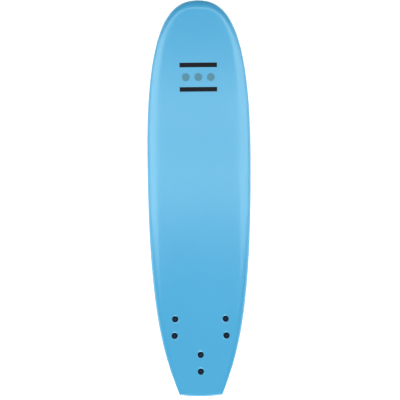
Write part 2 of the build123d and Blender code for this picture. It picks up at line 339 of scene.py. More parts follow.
def plan_grid(lines, band, centres):
    """A grid over the board inside its band: rows across between points of the two rails, and the
    last ones bowed to the tail's end. The lines near a hole are moved to the close lines round it,
    by less the further off they are, and those round it become its circles."""
    rows, columns, corners = lines
    inner = along(rows, rail) - along(rows, outward) * band(rows)[:, None]
    x = columns * inner[:, :1]
    end = inner[-1]
    bow = end[1] - (TAIL_CENTRE[1] - np.sqrt((TAIL_RADIUS - CORNER) ** 2 - (columns * end[0]) ** 2))
    y = inner[:, 1:] - smooth((end[1] + BOWED - inner[:, 1:]) / BOWED) * bow
    new_x, new_y = x.copy(), y.copy()
    keep = np.ones((len(rows) - 1, len(columns) - 1), bool)
    blocks = {}
    for bolt, (row, column) in corners.items():
        centre = centres[bolt]
        block = (slice(row, row + len(LINES)), slice(column, column + len(LINES)))
        nearest_row = np.clip(np.arange(len(rows)) - row, 0, len(LINES) - 1)
        nearest_column = np.clip(np.arange(len(columns)) - column, 0, len(LINES) - 1)
        to_x = (centre[0] + LINES)[None, :] - x[block]
        to_y = (centre[1] - LINES)[:, None] - y[block]
        first, last = columns[column], columns[column + len(LINES) - 1]
        row_gap = np.clip(abs(inner[:, 1] - centre[1]) - LINES[-1], 0, None)
        room = np.where(columns > last, min(COLUMN_FADE, 1 - last), min(COLUMN_FADE, first + 1))
        column_gap = np.clip(np.maximum(first - columns, columns - last), 0, None)
        weight = smooth(1 - row_gap / ROW_FADE)[:, None] * smooth(1 - column_gap / room)
        new_x += to_x[nearest_row][:, nearest_column] * weight
        new_y += to_y[nearest_row][:, nearest_column] * weight
        blocks[bolt] = block
    for bolt, block in blocks.items():
        new_x[block] = centres[bolt][0] + square_x * pull
        new_y[block] = centres[bolt][1] + square_y * pull
        row, column = corners[bolt]
        keep[row + FIRST:row + LAST, column + FIRST:column + LAST] = False
    return new_x, new_y, keep


def hole_wall(outside, inside, corner):
    """The ring of points round a hole on two grids, joined into one band."""
    row, column = corner
    steps = np.arange(FIRST, LAST)
    still = np.full_like(steps, FIRST)
    far = np.full_like(steps, LAST)
    ring_rows = np.concatenate([still, steps, far, LAST + FIRST - steps, [FIRST]]) + row
    ring_columns = np.concatenate([steps, far, LAST + FIRST - steps, still, [FIRST]]) + column
    return np.stack([outside[ring_rows, ring_columns], inside[ring_rows, ring_columns]])


def round_the_edge(rows, columns):
    """Plan points and outward normals right round the board, and each one's run: down the right
    rail, round a corner arc, across the tail's end, round the other corner and up the left."""
    edge, normal = along(rows, rail), along(rows, outward)
    pivot = edge[-1] - CORNER * normal[-1]
    across_tail = np.stack([columns[::-1] * pivot[0], np.zeros(len(columns))], axis=1)
    inner_radius = TAIL_RADIUS - CORNER
    across_tail[:, 1] = TAIL_CENTRE[1] - np.sqrt(inner_radius**2 - across_tail[:, 0] ** 2)
    tail_normal = (across_tail - TAIL_CENTRE) / inner_radius
    first_turn, last_turn = np.arctan2(*normal[-1][::-1]), np.arctan2(*tail_normal[0][::-1])
    turn = np.linspace(first_turn, last_turn, CORNER_STEPS)[1:-1]
    arc = np.stack([np.cos(turn), np.sin(turn)], axis=1)
    flip = np.array((-1, 1))
    points = [edge, pivot + CORNER * arc, across_tail + CORNER * tail_normal]
    points += [(pivot + CORNER * arc)[::-1] * flip, edge[::-1] * flip]
    normals = [normal, arc, tail_normal, arc[::-1] * flip, normal[::-1] * flip]
    tail_run = np.full(2 * len(arc) + len(columns), corner_run)
    return np.concatenate(points), np.concatenate(normals), np.concatenate([rows, tail_run, rows[::-1]])


TAIL_CHINE = 0.008
EDGE_FADE = 0.06
NOSE_APEX = 0.30
SIDE_APEX = 0.42
APEX_RUN = 0.4


def apex(runs):
    """Where the rail is widest, as a share of its depth: 0.30 up at the nose, 0.42 on the sides."""
    return NOSE_APEX + (SIDE_APEX - NOSE_APEX) * smooth(runs / APEX_RUN)


def chine_rise(runs, depth):
    """How far up the lower round of the rail reaches: to the apex, and 8 mm at the tail."""
    return TAIL_CHINE + (apex(runs) * depth - TAIL_CHINE) * fade(runs, EDGE_FADE)


# Each screw's foot, on the bottom of the board, and its axis, from its joint
feet, axes = {}, {}
turns = {joint["name"]: joint for joint in frame["joints"] if joint["type"] == "hinge"}
for bolt in BOLTS:
    joint = turns[f"{bolt}_screw_turn"]
    feet[bolt], axes[bolt] = np.array(joint["pos_m"]), np.array(joint["axis"])


def hole_centres(height_of):
    """Where each bolt's axis is at a height above its foot, in the level board's axes. The left
    side's are the right side's mirrored."""
    centres = {}
    for bolt in BOLTS:
        twin = bolt.replace("left", "right")
        centre = level(feet[twin] + height_of(twin) * axes[twin] - origin)
        centre[0] = 0.0 if "centre" in bolt else centre[0]
        centres[bolt] = centre * (-1 if "left" in bolt else 1, 1, 1)
    return centres


MERGE = 3e-6
CREASE = radians(40)


def shell(name, patches):
    """A closed mesh. Each patch is a grid of points, whose cells become faces, with a mask of the
    cells to keep; points that patches share are merged and the faces turned outwards."""
    points, faces, start = [], [], 0
    for grid, keep in patches:
        rows, columns = grid.shape[:2]
        number = start + np.arange(rows * columns).reshape(rows, columns)
        cells = np.stack([number[:-1, :-1], number[:-1, 1:], number[1:, 1:], number[1:, :-1]], axis=-1)
        faces.append(cells.reshape(-1, 4) if keep is None else cells[keep])
        points.append(grid.reshape(-1, 3))
        start += rows * columns
    points, faces = np.concatenate(points), np.concatenate(faces)
    mesh = bpy.data.meshes.new(name)
    mesh.vertices.add(len(points))
    mesh.vertices.foreach_set("co", points.ravel())
    mesh.loops.add(faces.size)
    mesh.loops.foreach_set("vertex_index", faces.ravel())
    mesh.polygons.add(len(faces))
    mesh.polygons.foreach_set("loop_start", np.arange(0, faces.size, 4))
    mesh.update(calc_edges=True)
    work = bmesh.new()
    work.from_mesh(mesh)
    bmesh.ops.remove_doubles(work, verts=work.verts, dist=MERGE)
    bmesh.ops.recalc_face_normals(work, faces=work.faces)
    work.to_mesh(mesh)
    work.free()
    mesh.shade_smooth()
    mesh.set_sharp_from_angle(angle=CREASE)
    piece = bpy.data.objects.new(name, mesh)
    bpy.context.scene.collection.objects.link(piece)
    return piece


def fit(piece, material, body, slot, *nodes):
    """Gives a piece its material and its body, and hides the CAD nodes that it stands for. The slot is not used.
    """
    piece.data.materials.append(material)
    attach(piece, body)
    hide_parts(*nodes)


def chine_band(runs):
    """How far in the round of the chine reaches: 12 mm all round."""
    return np.full(np.shape(runs), CORNER)


SLICK = 0.0025
GLUE = 0.0003
SEAM_LOW = 0.0018
SEAM_DEEP = 0.0005
SEAM_ROWS = 14
low_centres = hole_centres(lambda bolt: 0.0)
slick_lines = spaced_lines(chine_band, low_centres)
low_x, low_y, slick_keep = plan_grid(slick_lines, chine_band, low_centres)
high_x, high_y, slick_keep = plan_grid(slick_lines, chine_band, hole_centres(lambda bolt: SLICK))
slick_under = lay(low_x, low_y, bottom_height(low_y))
slick_over = lay(high_x, high_y, bottom_height(high_y) + SLICK)
slick_rim = round_the_edge(*slick_lines[:2])


def edge_row(rim, into, surface, offset):
    """One line right round the board: this far in from its edge, and this far off a surface."""
    edge, normals, runs = rim
    x, y = edge[:, 0] - normals[:, 0] * into, edge[:, 1] - normals[:, 1] * into
    return lay(x, y, surface(x, y) + offset)


def floor_height(x, y):
    """The bottom, as a function of the place in plan."""
    return bottom_height(y)


def depth_of(rim):
    """How far the deck is above the bottom, all round the board's edge."""
    edge = rim[0]
    return deck_height(*edge.T) - bottom_height(edge[:, 1])


def chine_in(rim, height):
    """How far in the chine's quarter ellipse is at a height: B(1 - sqrt(1 - (1 - h/H)^2))."""
    return CORNER * (1 - np.sqrt(1 - (1 - height / chine_rise(rim[2], depth_of(rim))) ** 2))


slick_rows = [edge_row(slick_rim, CORNER, floor_height, SLICK)]
slick_rows.append(edge_row(slick_rim, chine_in(slick_rim, SLICK) + SEAM_DEEP, floor_height, SLICK))
for height in SEAM_LOW * np.linspace(1, 0, SEAM_ROWS) ** 2:
    slick_rows.append(edge_row(slick_rim, chine_in(slick_rim, height), floor_height, height))
slick_patches = [(slick_under, slick_keep), (slick_over, slick_keep), (np.stack(slick_rows), None)]
slick_patches += [(hole_wall(slick_under, slick_over, corner), None) for corner in slick_lines[2].values()]

SLICK_SHADES = (0.78, 0.79, 0.79, 1), (0.86, 0.87, 0.87, 1)
SLICK_CLOUD = 0.25
SLICK_ROUGHNESS = (0.22, 0.42)
SCUFFS_PER_METRE = (40.0, 2.5, 20.0)
SCUFF_RANGE = (0.3, 0.75)
SCUFF_RELIEF = 0.00004
RIPPLE = 0.05
RIPPLE_RELIEF = 0.0003
slick_white = finish("white_slick_sheet", Base_Color=(0.82, 0.83, 0.83, 1), Roughness=0.28)
scuff_place = node(slick_white, "Mapping", {"Vector": place(slick_white), "Scale": SCUFFS_PER_METRE})
scuff = node(slick_white, "TexNoise", {"Vector": scuff_place, "Scale": 1.0, "Detail": 6.0})
wire(slick_white, Roughness=spread(slick_white, scuff, *SCUFF_RANGE, *SLICK_ROUGHNESS))
sheet_tone = noise(slick_white, place(slick_white), SLICK_CLOUD)
wire(slick_white, Base_Color=mix(slick_white, sheet_tone, *SLICK_SHADES))
ripple = relief(slick_white, noise(slick_white, place(slick_white), RIPPLE), RIPPLE_RELIEF)
wire(slick_white, Normal=relief(slick_white, scuff, SCUFF_RELIEF, ripple))
slick = shell("slick_bottom", slick_patches)
fit(slick, slick_white, "board", "slick", "bottom_skin")


# ---- Deck foam -----------------------------------------------------------------------------
# One sheet of light-blue closed-cell polyethylene foam, 6 mm thick and finely embossed. It is
# heat-laminated over the deck, wrapped round the rails and tail, and pressed in at each washer.

FOAM = 0.006
ROUND = 0.085
ROUND_FADE = 0.566
FORE_SHARE = 0.40
FORE_RUN = 0.5
TIP_SHARE = 0.25
TIP_RUN = 0.2


def deck_band(runs):
    """How far in the round of the rail reaches: 59 mm at the tip of the nose, 53 mm a little to
    its side, 83 mm at the shoulders, and from there narrowing to 12 mm at the tail's corner."""
    nose = FORE_SHARE + (1 - FORE_SHARE) * smooth(runs / FORE_RUN)
    nose = nose + TIP_SHARE * (1 - smooth(runs / TIP_RUN))
    return CORNER + (ROUND - CORNER) * fade(runs, ROUND_FADE) * nose


def deck_drop(runs, depth):
    """How far down the upper round of the rail reaches: to the apex, and 12 mm at the tail."""
    return CORNER + ((1 - apex(runs)) * depth - CORNER) * fade(runs, EDGE_FADE)


def heights(node_name, bolt):
    """How far each corner of a CAD node lies up a bolt's axis from the bolt's foot."""
    mesh = frame["nodes"][node_name].data
    spots = np.empty(3 * len(mesh.vertices))
    mesh.vertices.foreach_get("co", spots)
    return (spots.reshape(-1, 3) - feet[bolt]) @ axes[bolt]


DIMPLE_FROM = 0.0195
DIMPLE_TO = 0.0275
seats = {bolt: float(heights(f"washer_{bolt}", bolt).min()) for bolt in BOLTS}
seat_centres = hole_centres(lambda bolt: seats[bolt])


def dimpled(x, y):
    """The deck, pressed flat to each washer's seat and eased back up over the next 8 mm."""
    z = deck_height(x, y)
    for bolt, seat in seat_centres.items():
        lean = level(axes[bolt])
        seat_height = seat[2] - ((x - seat[0]) * lean[0] + (y - seat[1]) * lean[1]) / lean[2]
        away = np.hypot(x - seat[0], y - seat[1])
        ease = smooth((away - DIMPLE_FROM) / (DIMPLE_TO - DIMPLE_FROM))
        z = np.where(away < DIMPLE_TO, seat_height + (z - seat_height) * ease, z)
    return z


deck_lines = spaced_lines(deck_band, seat_centres)
over_x, over_y, deck_keep = plan_grid(deck_lines, deck_band, seat_centres)
under_centres = hole_centres(lambda bolt: seats[bolt] - FOAM)
under_x, under_y, deck_keep = plan_grid(deck_lines, deck_band, under_centres)
deck_over = lay(over_x, over_y, dimpled(over_x, over_y))
deck_under = lay(under_x, under_y, deck_height(under_x, under_y) - FOAM)
# Outside, the round is a superellipse down to the apex and the chine a quarter ellipse below it;
# inside, two quarter circles follow them. The foam's foot stands on the slick's edge.
INNER_ROUND = 0.0300
SEAM_TOP = 0.0032
FULLNESS = 1.1
FULLNESS_FADE = 0.3
FULLNESS_RUN = 0.35
ROUND_ROWS = 25
INNER_ROWS = 8
CHINE_ROWS = 9
FOOT_ROWS = 5
quarter = radians(90)
rim = round_the_edge(*deck_lines[:2])
runs, depth = rim[2], depth_of(rim)
band, drop, climb = deck_band(runs), deck_drop(runs, depth), chine_rise(runs, depth)
inner_round = np.minimum(INNER_ROUND, band - FOAM)
power = 2 + FULLNESS * fade(runs, FULLNESS_FADE) * smooth(runs / FULLNESS_RUN)
outer, inner = [], [edge_row(rim, band, deck_height, -FOAM)]
for turn in quarter * np.linspace(0, 1, ROUND_ROWS):
    near = np.sin(turn) ** (2 / power)
    outer.append(edge_row(rim, band * (1 - near), deck_height, -drop * (1 - np.cos(turn))))
for turn in quarter * np.linspace(0, 1, INNER_ROWS):
    into, fall = FOAM + inner_round * (1 - np.sin(turn)), FOAM + inner_round * (1 - np.cos(turn))
    inner.append(edge_row(rim, into, deck_height, -fall))
for share_down in np.linspace(0, 1, CHINE_ROWS):
    turn = np.arcsin(1 - SEAM_TOP / climb) * share_down
    outer.append(edge_row(rim, CORNER * (1 - np.cos(turn)), floor_height, climb * (1 - np.sin(turn))))
foot_height = SLICK + GLUE
outer.append(edge_row(rim, chine_in(rim, foot_height) + SEAM_DEEP, floor_height, foot_height))
for turn in quarter * np.linspace(0, 1, FOOT_ROWS):
    into, lift = FOAM + (CORNER - FOAM) * (1 - np.cos(turn)), (CORNER - FOAM) * (1 - np.sin(turn))
    inner.append(edge_row(rim, into, floor_height, foot_height + lift))
deck_patches = [(deck_over, deck_keep), (deck_under, deck_keep), (np.stack(outer + inner[::-1]), None)]
deck_patches += [(hole_wall(deck_over, deck_under, corner), None) for corner in deck_lines[2].values()]

BLUES = (0.051, 0.322, 0.562, 1), (0.055, 0.338, 0.586, 1)
CELL_BLUE = (0.064, 0.360, 0.606, 1)
MOTTLE = 0.35
CELL = 0.004
CELL_RANGE = (0.35, 0.65)
CELL_SHARE = (0.0, 0.25)
GLOSS_TINT = (0.8, 1.0, 0.95, 1)
blue_foam = finish("light_blue_foam", Roughness=0.26, Specular_IOR_Level=0.8, Specular_Tint=GLOSS_TINT)
tilt = float(np.arctan2(ahead[2], ahead[1]))
level_board = {"Vector": place(blue_foam), "Location": tuple(origin), "Rotation": (tilt, 0, 0)}
board_place = node(blue_foam, "Mapping", level_board, vector_type="TEXTURE")
mottle = noise(blue_foam, board_place, MOTTLE)
cells = noise(blue_foam, board_place, CELL, 2.0)
cell_share = spread(blue_foam, cells, *CELL_RANGE, *CELL_SHARE)
plain_blue = mix(blue_foam, cell_share, mix(blue_foam, mottle, *BLUES), CELL_BLUE)

# The print: two dark bars across the deck with three discs in a row between them
BAR_INK = (0.009, 0.010, 0.012, 1)
DISC_INK = (0.055, 0.20, 0.28, 1)
INK_DULLNESS = 0.35
INK_TINT = (0.12, 0.12, 0.12, 1)
GRAPHIC_Y = 0.7465
BAR_HALF = (0.115, 0.014)
BAR_Y = 0.074
DISC = 0.0245
DISC_STEP = 0.0765
EDGE = 0.0006
board_x = node(blue_foam, "SeparateXYZ", {0: board_place}, output=0)
board_y = node(blue_foam, "SeparateXYZ", {0: board_place}, output=1)
graphic_y = sum_of(blue_foam, "SUBTRACT", board_y, GRAPHIC_Y)
side_way = sum_of(blue_foam, "ABSOLUTE", board_x, 0.0)
up_way = sum_of(blue_foam, "ABSOLUTE", graphic_y, 0.0)
from_bar = sum_of(blue_foam, "ABSOLUTE", sum_of(blue_foam, "SUBTRACT", up_way, BAR_Y), 0.0)


def within(value, limit):
    """1 while a distance on the deck is under its limit, and 0 past it, with a soft edge."""
    return spread(blue_foam, value, limit - EDGE, limit + EDGE, 1.0, 0.0)


bar = sum_of(blue_foam, "MULTIPLY", within(side_way, BAR_HALF[0]), within(from_bar, BAR_HALF[1]))
wrap = node(blue_foam, "Math", {0: board_x, 1: DISC_STEP / 2, 2: -DISC_STEP / 2}, operation="WRAP")
wrap_squared = sum_of(blue_foam, "MULTIPLY", wrap, wrap)
graphic_squared = sum_of(blue_foam, "MULTIPLY", graphic_y, graphic_y)
from_disc = sum_of(blue_foam, "SQRT", sum_of(blue_foam, "ADD", wrap_squared, graphic_squared), 0.0)
disc = sum_of(blue_foam, "MULTIPLY", within(from_disc, DISC), within(side_way, 1.5 * DISC_STEP))
printed = mix(blue_foam, bar, mix(blue_foam, disc, plain_blue, DISC_INK), BAR_INK)
wire(blue_foam, Base_Color=printed)

EMBOSS = 0.0016
EMBOSS_RELIEF = 0.00005
SWELL = 0.12
SWELL_RELIEF = 0.0006
FOAM_ROUGHNESS = 0.23
MOTTLE_DULLNESS = 0.06
emboss = node(blue_foam, "TexVoronoi", {"Vector": board_place, "Scale": 1 / EMBOSS}, feature="SMOOTH_F1")
swell = relief(blue_foam, noise(blue_foam, board_place, SWELL, 1.0), SWELL_RELIEF)
wire(blue_foam, Normal=relief(blue_foam, emboss, EMBOSS_RELIEF, swell))
shine = sum_of(blue_foam, "ADD", sum_of(blue_foam, "MULTIPLY", mottle, MOTTLE_DULLNESS), FOAM_ROUGHNESS)
ink = sum_of(blue_foam, "MULTIPLY", sum_of(blue_foam, "MAXIMUM", bar, disc), INK_DULLNESS)
wire(blue_foam, Roughness=sum_of(blue_foam, "ADD", shine, ink))
wire(blue_foam, Specular_Tint=mix(blue_foam, bar, GLOSS_TINT, INK_TINT))
deck = shell("deck_foam", deck_patches)
fit(deck, blue_foam, "board", "deck_foam", "deck_skin")


# ---- Washers -------------------------------------------------------------------------------
# Six round washers of black moulded nylon, 38 mm across and domed, with a well in the middle
# for the screw's head. Each is drawn down into the deck foam by its screw.

# Radius and height above the seat, in mm: up the well's wall, out over the dome and back under
WASHER = np.array((
    (3.5, 1.4), (5.4, 1.4), (5.75, 1.5), (5.9, 1.8), (5.9, 3.0), (6.05, 3.42), (6.5, 3.6), (7.2, 3.6),
    (8.4, 3.58), (10.0, 3.5), (12.0, 3.3), (14.0, 2.98), (16.0, 2.5), (17.5, 1.95), (18.5, 1.45),
    (18.9, 1.1), (19.0, 0.7), (19.0, 0.25), (18.8, 0.0), (3.5, 0.0), (3.5, 1.4))) / 1000


def turned(profile, foot, axis, segments):
    """A profile of radius and height, turned about an axis: r(cos a, sin a) off it at height h."""
    side = np.cross(axis, (0.0, 1.0, 0.0))
    side /= np.linalg.norm(side)
    other = np.cross(axis, side)
    angle = np.linspace(0, 2 * np.pi, segments + 1)
    spoke = np.cos(angle)[:, None] * side + np.sin(angle)[:, None] * other
    spoke[-1] = spoke[0]
    profile = np.asarray(profile, float)
    return foot + profile[:, :1, None] * spoke[None] + profile[:, 1:, None] * axis


WASHER_SEGMENTS = 72
GRAIN_RANGE = (0.3, 0.7)
NYLON_ROUGHNESS = (0.44, 0.58)
NYLON_SHADES = (0.001, 0.008, 0.018, 1), (0.003, 0.013, 0.027, 1)
NYLON_CLOUD = 0.01
NYLON_GRAIN = 0.0007
NYLON_RELIEF = 0.00006
nylon = finish("black_nylon", Base_Color=(0.002, 0.008, 0.016, 1), Roughness=0.5, Specular_IOR_Level=0.08)
nylon_grain = noise(nylon, place(nylon), NYLON_GRAIN, 2.0)
wire(nylon, Base_Color=mix(nylon, noise(nylon, place(nylon), NYLON_CLOUD), *NYLON_SHADES))
wire(nylon, Roughness=spread(nylon, nylon_grain, *GRAIN_RANGE, *NYLON_ROUGHNESS))
wire(nylon, Normal=relief(nylon, nylon_grain, NYLON_RELIEF))
for bolt in BOLTS:
    seat = feet[bolt] + seats[bolt] * axes[bolt]
    around = turned(WASHER, seat, axes[bolt], WASHER_SEGMENTS)
    washer = shell(f"nylon_washer_{bolt}", [(around, None)])
    fit(washer, nylon, "board", "washer_plastic", f"washer_{bolt}")


# ---- Fins ----------------------------------------------------------------------------------
# Three alike, each moulded in one of black flexible urethane rubber: a base with round ends,
# a raked blade with a foil section, and two posts that go up into the sleeves.

BASE_HALF = (0.013, 0.075)
BASE_TOP = -0.0003
BASE_FOOT = -0.0053
BASE_EDGE = 0.003
BASE_BEVEL = 0.0003
ROOT_ROUND = 0.0025
BLADE_ROOT = -0.0043
TIP_ROUND = 0.0026
TIP_FRONT = 0.006
TIP_BACK = 0.003
TIP_ROWS = 8
BLADE_ROWS = 36
FILLET_ROWS = 7
FOIL_FORWARD = 0.62
FOIL_FULLNESS = 0.8
CANT = radians(4.5)
AROUND = 96
# Depth under the blade's root, front edge, back edge and thickness, in mm
BLADE = np.array((
    (0.0, 69.0, -66.0, 11.0), (25.0, 57.0, -60.0, 10.2), (50.0, 38.0, -58.0, 9.2),
    (75.0, 12.0, -61.5, 8.0), (95.0, -18.0, -69.5, 6.6), (105.0, -38.0, -76.0, 5.4),
    (110.0, -54.0, -80.5, 4.2))) / 1000
# Radius and height of a post, in mm, with the bore for its insert
POST = np.array((
    (0.0, -1.0), (6.3, -1.0), (6.3, 21.2), (6.1, 21.75), (5.6, 22.0), (4.5, 22.0), (4.5, 2.0),
    (0.0, 2.0))) / 1000
POST_SEGMENTS = 40


def section(depth):
    """Front edge, back edge and thickness of the blade at a depth: cubic Hermite curves through
    the known sections, with slopes from their neighbours."""
    known = BLADE[:, 0]
    slope = np.gradient(BLADE[:, 1:], known, axis=0)
    first = int(np.clip(np.searchsorted(known, depth) - 1, 0, len(known) - 2))
    width = known[first + 1] - known[first]
    t = (depth - known[first]) / width
    low, high = BLADE[first, 1:], BLADE[first + 1, 1:]
    return ((2 * t**3 - 3 * t**2 + 1) * low + (t**3 - 2 * t**2 + t) * width * slope[first]
            + (3 * t**2 - 2 * t**3) * high + (t**3 - t**2) * width * slope[first + 1])


def foil(front, back, thickness):
    """A closed loop: along the chord by (1 - cos a)/2 from front to back and round again, and out
    by half the thickness times sin(pi c^0.62)^0.8, which is round in front and thin behind."""
    angle = np.linspace(0, 2 * np.pi, AROUND + 1)
    chord = (1 - np.cos(angle)) / 2
    plump = np.clip(np.sin(np.pi * chord**FOIL_FORWARD), 0, 1) ** FOIL_FULLNESS
    out = thickness / 2 * plump * np.sign(np.sin(angle))
    out[[0, AROUND // 2, AROUND]] = 0
    return np.stack([out, front + (back - front) * chord], axis=1)


def slot_shape(inset):
    """The base's outline, drawn in: straight sides with half-round ends, by the same angles."""
    angle = np.linspace(0, 2 * np.pi, AROUND + 1)
    half_width, half_length = BASE_HALF[0] - inset, BASE_HALF[1] - inset
    y = half_length * np.cos(angle)
    over = np.clip(abs(y) - (half_length - half_width), 0, half_width)
    out = np.sqrt(half_width**2 - over**2) * np.sign(np.sin(angle))
    out[[0, AROUND // 2, AROUND]] = 0
    return np.stack([out, y], axis=1)


def swollen(loop, by):
    """A loop moved outwards along its own normals."""
    tangent = np.roll(loop[:-1], -1, axis=0) - np.roll(loop[:-1], 1, axis=0)
    normal = np.stack([-tangent[:, 1], tangent[:, 0]], axis=1)
    normal /= np.maximum(np.linalg.norm(normal, axis=1, keepdims=True), 1e-12)
    normal *= np.sign(np.sum(normal * (loop[:-1] - loop[:-1].mean(axis=0))))
    moved = loop[:-1] + by * normal
    return np.vstack([moved, moved[:1]])


# Each loop has a height: the blade's from the rounded tip up to the fillet under the base, then
# the base's up to its top, which the last loop closes along the middle
blade_loops = []
tip_depth = BLADE[-1, 0]
for turn in quarter * np.linspace(0, 1, TIP_ROWS):
    depth_here = tip_depth - TIP_ROUND * (1 - np.cos(turn))
    front, back, thickness = section(depth_here)
    drawn = 1 - np.sin(turn)
    tip_loop = foil(front - TIP_FRONT * drawn, back + TIP_BACK * drawn, thickness * np.sin(turn))
    blade_loops.append((tip_loop, BLADE_ROOT - depth_here))
root_depth = BLADE_ROOT - BASE_FOOT
for depth_here in np.linspace(tip_depth - TIP_ROUND, root_depth + ROOT_ROUND, BLADE_ROWS)[1:]:
    blade_loops.append((foil(*section(depth_here)), BLADE_ROOT - depth_here))
root = foil(*section(root_depth))
for turn in quarter * np.linspace(0, 1, FILLET_ROWS)[1:]:
    fillet_loop = swollen(root, ROOT_ROUND * (1 - np.cos(turn)))
    blade_loops.append((fillet_loop, BASE_FOOT - ROOT_ROUND * (1 - np.sin(turn))))
base_loops = []
for turn in quarter * np.linspace(0, 1, FILLET_ROWS):
    foot_loop = slot_shape(BASE_EDGE * (1 - np.sin(turn)))
    base_loops.append((foot_loop, BASE_FOOT + BASE_EDGE * (1 - np.cos(turn))))
base_loops += [(slot_shape(0.0), BASE_TOP - BASE_BEVEL), (slot_shape(BASE_BEVEL), BASE_TOP)]
base_loops.append((slot_shape(BASE_BEVEL) * (0, 1), BASE_TOP))

RUBBER_ROUGHNESS = (0.42, 0.58)
RUBBER_SHADES = (0.009, 0.009, 0.010, 1), (0.018, 0.018, 0.019, 1)
RUBBER_CLOUD = 0.03
RUBBER_GRAIN = 0.0009
RUBBER_RELIEF = 0.00008
fin_rubber = finish("black_fin_rubber", Base_Color=(0.012, 0.012, 0.013, 1), Roughness=0.5)
rubber_grain = noise(fin_rubber, place(fin_rubber), RUBBER_GRAIN)
rubber_tone = noise(fin_rubber, place(fin_rubber), RUBBER_CLOUD)
wire(fin_rubber, Base_Color=mix(fin_rubber, rubber_tone, *RUBBER_SHADES))
wire(fin_rubber, Roughness=spread(fin_rubber, rubber_grain, *GRAIN_RANGE, *RUBBER_ROUGHNESS))
wire(fin_rubber, Normal=relief(fin_rubber, rubber_grain, RUBBER_RELIEF))
for fin in ("left", "centre", "right"):
    front_foot, rear_foot, axis = feet[f"{fin}_front"], feet[f"{fin}_rear"], axes[f"{fin}_front"]
    middle = (front_foot + rear_foot) / 2
    fin_ahead = (front_foot - rear_foot) / np.linalg.norm(front_foot - rear_foot)
    fin_side = np.cross(fin_ahead, axis)
    lean = {"left": -np.tan(CANT), "centre": 0.0, "right": np.tan(CANT)}[fin]
    skin = []
    for loop, height in blade_loops:
        leaning = loop[:, :1] + lean * (BLADE_ROOT - height)
        skin.append(middle + leaning * fin_side + loop[:, 1:] * fin_ahead + height * axis)
    for loop, height in base_loops:
        skin.append(middle + loop[:, :1] * fin_side + loop[:, 1:] * fin_ahead + height * axis)
    patches = [(np.stack(skin), None)]
    patches += [(turned(POST, foot, axis, POST_SEGMENTS), None) for foot in (front_foot, rear_foot)]
    fit(shell(f"rubber_fin_{fin}", patches), fin_rubber, f"fin_{fin}", "fin_rubber", f"fin_{fin}")


# ---- Threaded inserts ----------------------------------------------------------------------
# Six short tubes turned from brass bar and tapped M6. They are moulded into the tops of the
# fins' posts, and the screws run in them.

BRASS_ROUGHNESS = (0.24, 0.40)
BRASS_SHADES = (0.62, 0.42, 0.16, 1), (0.78, 0.56, 0.25, 1)
TOOL_MARKS_PER_METRE = (20.0, 20.0, 4000.0)
TOOL_RELIEF = 0.00003
brass = finish("turned_brass", Base_Color=(0.72, 0.50, 0.20, 1), Metallic=1.0, Roughness=0.3)
tool_place = node(brass, "Mapping", {"Vector": place(brass), "Scale": TOOL_MARKS_PER_METRE})
tool_marks = node(brass, "TexNoise", {"Vector": tool_place, "Scale": 1.0, "Detail": 2.0})
wire(brass, Roughness=spread(brass, tool_marks, *GRAIN_RANGE, *BRASS_ROUGHNESS))
wire(brass, Base_Color=mix(brass, tool_marks, *BRASS_SHADES))
wire(brass, Normal=relief(brass, tool_marks, TOOL_RELIEF))
for bolt in BOLTS:
    dress(f"insert_{bolt}", brass)


# ---- Screws --------------------------------------------------------------------------------
# Six M6 machine screws of darkened stainless steel with domed cross-recessed heads. Each goes
# down through a washer and a sleeve and is screwed into the insert of a fin's post.

PITCH = 0.001
THREAD = 0.003
CORE = 0.00288
THREAD_DEPTH = 0.00055
THREADED = 0.030
POINT = 0.0012
POINT_CUT = 0.0008
RUN_OUT = 0.002
HEAD = 0.0054
HEAD_HEIGHT = 0.0024
HEAD_DOME = 0.00072
HEAD_BEVEL = 0.0003
HEAD_RINGS = HEAD * np.concatenate([np.linspace(0, 0.62, 30), np.linspace(0.66, 1, 8)])[:, None]
SLOT_LONG = 0.0028
SLOT_HALF = 0.00055
SLOT_DEEP = 0.0015
SLOT_WALL = 0.00022
SLOT_END = 0.0003
SLOT_TAPER = 0.25
SLOT_FLOOR_RISE = 0.3
SPOKES = 64
GATHER = 0.2
ROWS_PER_TURN = 6

STEEL_ROUGHNESS = (0.42, 0.60)
STEEL_SHADES = (0.020, 0.030, 0.040, 1), (0.045, 0.060, 0.075, 1)
STEEL_CLOUD = 0.004
STEEL_GRAIN = 0.0008
STEEL_RELIEF = 0.00003
steel = finish("darkened_stainless", Base_Color=(0.035, 0.045, 0.055, 1), Metallic=1.0, Roughness=0.5)
steel_grain = noise(steel, place(steel), STEEL_GRAIN, 4.0)
wire(steel, Roughness=spread(steel, steel_grain, *GRAIN_RANGE, *STEEL_ROUGHNESS))
wire(steel, Base_Color=mix(steel, noise(steel, place(steel), STEEL_CLOUD), *STEEL_SHADES))
wire(steel, Normal=relief(steel, steel_grain, STEEL_RELIEF))


def head_top(radius, angle):
    """Height of the head under its crown: a shallow dome, less two crossed slots with steep walls
    whose floors rise towards their ends."""
    fall = rise(radius, (HEAD**2 + HEAD_DOME**2) / (2 * HEAD_DOME))
    x, y = abs(radius * np.cos(angle)), abs(radius * np.sin(angle))
    long_way, short_way = np.maximum(x, y), np.minimum(x, y)
    half_width = SLOT_HALF * (1 - SLOT_TAPER * long_way / SLOT_LONG)
    sunk = smooth((half_width - short_way) / SLOT_WALL) * smooth((SLOT_LONG - long_way) / SLOT_END)
    return -fall - sunk * SLOT_DEEP * (1 - SLOT_FLOOR_RISE * long_way / SLOT_LONG)


def stand(radius, height, spoke, foot, axis):
    """Points at a radius along each spoke and at a height up the axis, on one grid."""
    radius, height = np.broadcast_arrays(radius, height)
    return foot + radius[..., None] * spoke + height[..., None] * axis


